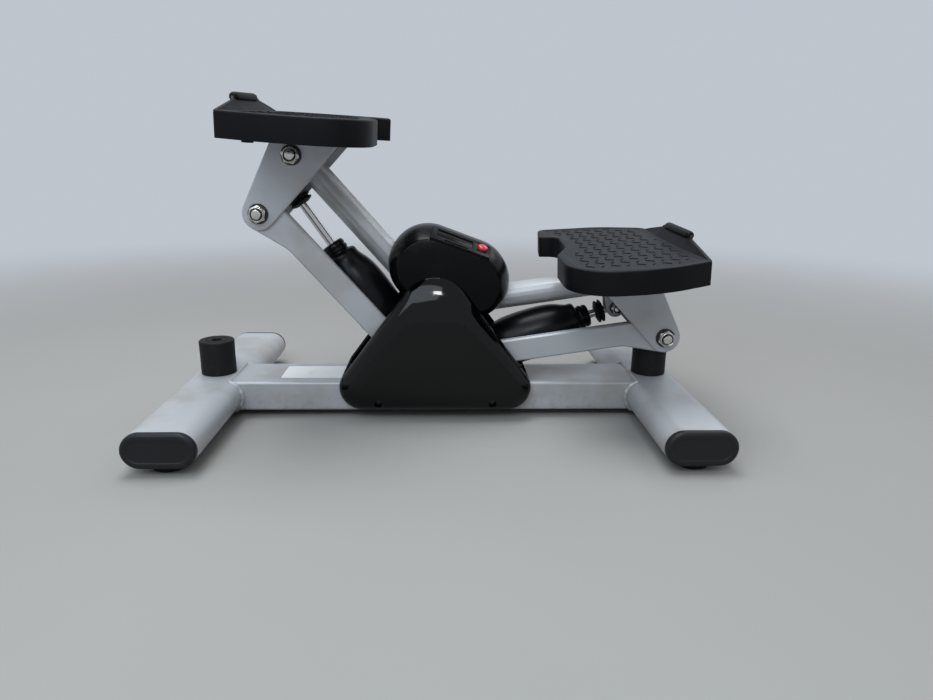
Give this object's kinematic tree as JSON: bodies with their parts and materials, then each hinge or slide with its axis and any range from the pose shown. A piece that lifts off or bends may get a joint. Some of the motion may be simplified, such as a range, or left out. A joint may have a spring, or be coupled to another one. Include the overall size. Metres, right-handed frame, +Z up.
{
  "type": "side stepper",
  "caption": "Side stepper: tread pedals kept level by a rocking parallelogram linkage, slowed by dampers under the arms, with a console pod over the axle and a floor frame.",
  "frame": {"origin": "on the floor, midway between the four feet", "axes": "+X from the left pedal to the right pedal, +Y away from the side that the console faces, +Z up; the right pedal is down on its stop at rest"},
  "size_m": [0.6594, 0.432, 0.4027],
  "materials": {
    "silver_paint": "metallic silver paint, semi-gloss",
    "zinc": "zinc-plated steel",
    "chrome": "chromed rod",
    "gloss_black": "gloss black moulding",
    "satin_black": "satin black moulding",
    "charcoal": "matt charcoal moulding",
    "rubber": "black rubber",
    "nylon": "natural nylon",
    "red": "red moulding",
    "window": "dark display window"
  },
  "bodies": {
    "base": {"main_beam": "silver_paint", "tower_bracket": "silver_paint", "rocker_axle": "zinc", "tower_cover_front": "gloss_black", "tower_cover_rear": "gloss_black", "cross_tube_left": "silver_paint", "bump_stop_left": "rubber", "stop_screw_left": "zinc", "link_pivot_pin_left": "zinc", "damper_pin_left": "zinc", "end_cap_left_front": "satin_black", "foot_pad_left_front": "rubber", "cover_screw_left_front": "zinc", "end_cap_left_rear": "satin_black", "foot_pad_left_rear": "rubber", "cover_screw_left_rear": "zinc", "cross_tube_right": "silver_paint", "bump_stop_right": "rubber", "stop_screw_right": "zinc", "link_pivot_pin_right": "zinc", "damper_pin_right": "zinc", "end_cap_right_front": "satin_black", "foot_pad_right_front": "rubber", "cover_screw_right_front": "zinc", "end_cap_right_rear": "satin_black", "foot_pad_right_rear": "rubber", "cover_screw_right_rear": "zinc"},
    "rocker": {"rocker_frame": "silver_paint", "console_module": "satin_black", "console_window": "window", "hub_bush_front": "nylon", "pod_shell_front": "satin_black", "hub_bush_rear": "nylon", "pod_shell_rear": "satin_black", "damper_bolt_left": "zinc", "damper_bolt_right": "zinc"},
    "button": {"console_button": "red"},
    "link_left": {"lower_link_left": "silver_paint"},
    "cylinder_left": {"damper_cylinder_left": "satin_black", "damper_boot_left": "gloss_black"},
    "rod_left": {"damper_rod_left": "chrome", "damper_bumper_left": "rubber"},
    "foot_left": {"pedal_left": "charcoal", "pedal_bracket_left": "silver_paint", "upper_pivot_bolt_left": "zinc", "lower_pivot_bolt_left": "zinc"},
    "link_right": {"lower_link_right": "silver_paint"},
    "cylinder_right": {"damper_cylinder_right": "satin_black", "damper_boot_right": "gloss_black"},
    "rod_right": {"damper_rod_right": "chrome", "damper_bumper_right": "rubber"},
    "foot_right": {"pedal_right": "charcoal", "pedal_bracket_right": "silver_paint", "upper_pivot_bolt_right": "zinc", "lower_pivot_bolt_right": "zinc"}
  },
  "joints": [
    {"name": "rocker_hinge", "type": "hinge", "parent": "base", "child": "rocker", "pos_m": [0, 0, 0.1395], "axis": [0, -1, 0], "range_deg": [0, 40]},
    {"name": "link_hinge_left", "type": "hinge", "parent": "base", "child": "link_left", "pos_m": [-0.0435, 0, 0.0705], "axis": [0, -1, 0], "range_deg": [0, 40]},
    {"name": "foot_hinge_left", "type": "hinge", "parent": "rocker", "child": "foot_left", "pos_m": [-0.16963, 0, 0.33123], "axis": [0, -1, 0], "range_deg": [-40, 0]},
    {"name": "damper_hinge_left", "type": "hinge", "parent": "base", "child": "cylinder_left", "pos_m": [-0.0305, 0.011, 0.0677], "axis": [0, -1, 0], "range_deg": [0, 36.41]},
    {"name": "damper_slide_left", "type": "slide", "parent": "cylinder_left", "child": "rod_left", "axis": [-0.5628, 0, 0.8266], "range_m": [-0.05112, 0]},
    {"name": "link_hinge_right", "type": "hinge", "parent": "base", "child": "link_right", "pos_m": [0.0435, 0, 0.0705], "axis": [0, -1, 0], "range_deg": [0, 40]},
    {"name": "foot_hinge_right", "type": "hinge", "parent": "rocker", "child": "foot_right", "pos_m": [0.25319, 0, 0.17734], "axis": [0, -1, 0], "range_deg": [-40, 0]},
    {"name": "damper_hinge_right", "type": "hinge", "parent": "base", "child": "cylinder_right", "pos_m": [0.0305, 0.011, 0.0677], "axis": [0, -1, 0], "range_deg": [0, 37.63]},
    {"name": "damper_slide_right", "type": "slide", "parent": "cylinder_right", "child": "rod_right", "axis": [0.9466, 0, 0.3223], "range_m": [0, 0.05268]},
    {"name": "button_press", "type": "slide", "parent": "rocker", "child": "button", "axis": [-0.3214, 0.342, -0.883], "range_m": [0, 0.0015], "stiffness_N_per_m": 400, "springref_m": -0.0005}
  ],
  "couplings": [
    {"joint": "link_hinge_left", "follows": "rocker_hinge", "ratio": 1},
    {"joint": "foot_hinge_left", "follows": "rocker_hinge", "ratio": -1},
    {"joint": "damper_hinge_left", "follows": "rocker_hinge", "ratio": 0.909},
    {"joint": "damper_slide_left", "follows": "rocker_hinge", "m_per_rad": -0.07294},
    {"joint": "link_hinge_right", "follows": "rocker_hinge", "ratio": 1},
    {"joint": "foot_hinge_right", "follows": "rocker_hinge", "ratio": -1},
    {"joint": "damper_hinge_right", "follows": "rocker_hinge", "ratio": 0.9395},
    {"joint": "damper_slide_right", "follows": "rocker_hinge", "m_per_rad": 0.07517}
  ]
}
